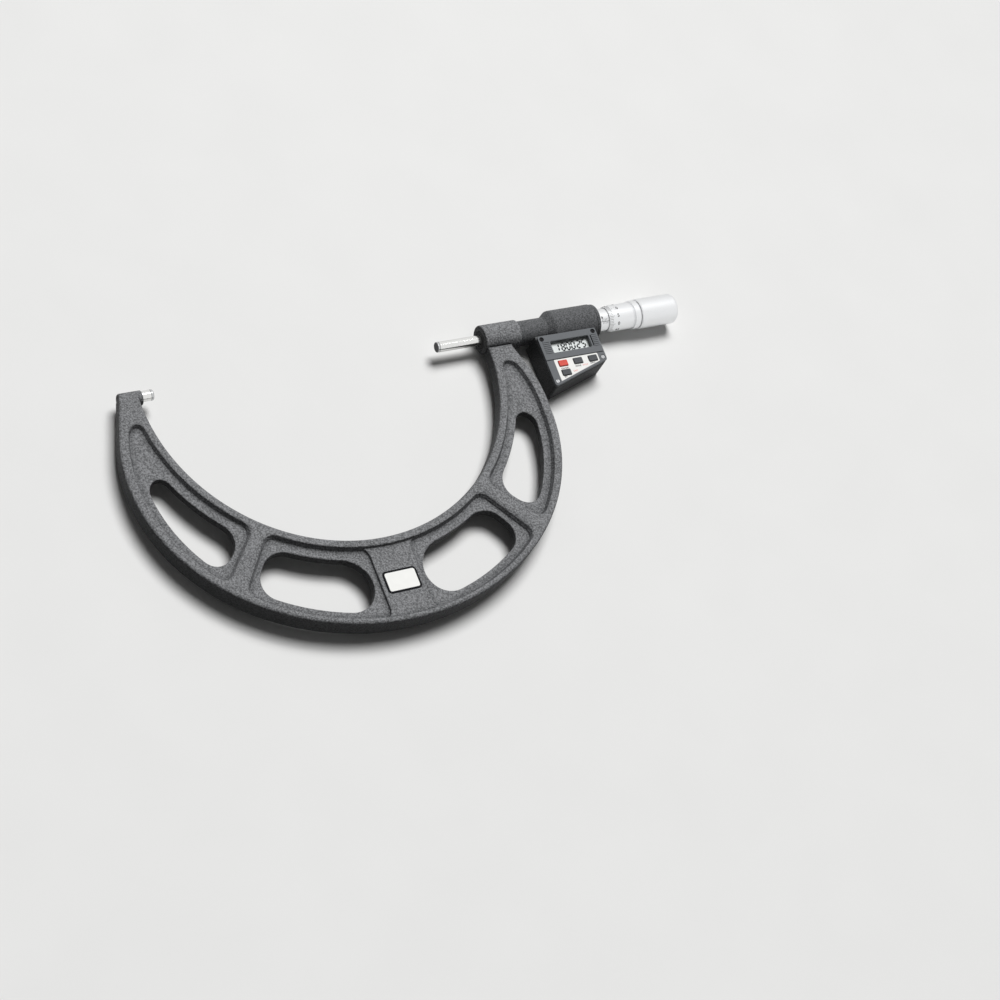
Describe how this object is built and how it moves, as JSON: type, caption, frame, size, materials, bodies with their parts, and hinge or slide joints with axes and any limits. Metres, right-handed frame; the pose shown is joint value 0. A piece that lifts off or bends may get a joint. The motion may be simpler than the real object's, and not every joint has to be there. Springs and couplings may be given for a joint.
{
  "type": "outside micrometer",
  "caption": "Outside micrometer with a U frame, lightening windows, a digital display with keys, a sliding spindle and a friction thimble.",
  "frame": {"origin": "centre of the anvil's measuring face", "axes": "+X along the spindle axis towards the thimble, -Y towards the bow of the frame, +Z out of the display side; the instrument lies on its back"},
  "size_m": [0.3812, 0.179, 0.0222],
  "materials": {
    "wrinkle_enamel": "wrinkle enamel",
    "ground_steel": "ground",
    "satin_chrome": "satin",
    "carbide": "lapped carbide",
    "casing_grey": "fine texture",
    "panel_grey": "fine texture",
    "white_plate": "printed film",
    "key_grey": "moulded",
    "key_red": "moulded",
    "clear_window": "clear",
    "lcd_glass": "reflective display",
    "black_steel": "blackened",
    "bronze": "turned",
    "rubber": "matte",
    "board_green": "lacquered board"
  },
  "bodies": {
    "frame_body": {"frame": "wrinkle_enamel", "name_plate": "white_plate", "anvil": "ground_steel", "anvil_tip": "carbide", "spindle_bush": "bronze", "wiper_ring": "rubber", "head_casing": "casing_grey", "display_bezel": "panel_grey", "display_window": "clear_window", "lcd_module": "lcd_glass", "lcd_strip_upper": "rubber", "lcd_strip_lower": "rubber", "keypad_panel": "panel_grey", "key_plate": "white_plate", "key_mat": "rubber", "circuit_board": "board_green", "battery": "ground_steel", "battery_clip": "satin_chrome", "bezel_screw_left": "black_steel", "bezel_screw_right": "black_steel", "keypad_screw_left": "black_steel", "keypad_screw_right": "black_steel", "barrel_end_cap": "casing_grey", "encoder_stator": "board_green", "rotor_bush": "bronze", "fixed_sleeve": "satin_chrome", "spindle_nut": "bronze", "adjusting_nut": "ground_steel"},
    "rotor": {"encoder_rotor": "board_green", "rotor_hub": "ground_steel", "rotor_collar": "black_steel", "drive_key": "black_steel"},
    "spindle_body": {"spindle": "ground_steel", "spindle_tip": "carbide", "thimble": "satin_chrome", "end_screw": "ground_steel", "friction_spring": "ground_steel"},
    "friction_body": {"friction_sleeve": "satin_chrome"},
    "key_power_body": {"key_power": "key_red"},
    "key_mode_body": {"key_mode": "key_grey"},
    "key_zero_body": {"key_zero": "key_grey"},
    "key_set_body": {"key_set": "key_grey"}
  },
  "joints": [
    {"name": "thimble_turn", "type": "hinge", "parent": "frame_body", "child": "rotor", "pos_m": [0.27, 0, 0], "axis": [1, 0, 0], "range_deg": [-3618.5, 14382.5]},
    {"name": "spindle_travel", "type": "slide", "parent": "rotor", "child": "spindle_body", "axis": [1, 0, 0], "range_m": [-0.00502, 0.01997]},
    {"name": "friction_turn", "type": "hinge", "parent": "spindle_body", "child": "friction_body", "pos_m": [0.335, 0, 0], "axis": [1, 0, 0], "continuous": true},
    {"name": "key_power_press", "type": "slide", "parent": "frame_body", "child": "key_power_body", "axis": [0, 0.0523, -0.9986], "range_m": [0, 0.0004], "stiffness_N_per_m": 1500},
    {"name": "key_mode_press", "type": "slide", "parent": "frame_body", "child": "key_mode_body", "axis": [0, 0.0523, -0.9986], "range_m": [0, 0.0004], "stiffness_N_per_m": 1500},
    {"name": "key_zero_press", "type": "slide", "parent": "frame_body", "child": "key_zero_body", "axis": [0, 0.0523, -0.9986], "range_m": [0, 0.0004], "stiffness_N_per_m": 1500},
    {"name": "key_set_press", "type": "slide", "parent": "frame_body", "child": "key_set_body", "axis": [0, 0.0523, -0.9986], "range_m": [0, 0.0004], "stiffness_N_per_m": 1500}
  ],
  "couplings": [
    {"joint": "thimble_turn", "follows": "spindle_travel", "rad_per_m": 12566}
  ]
}
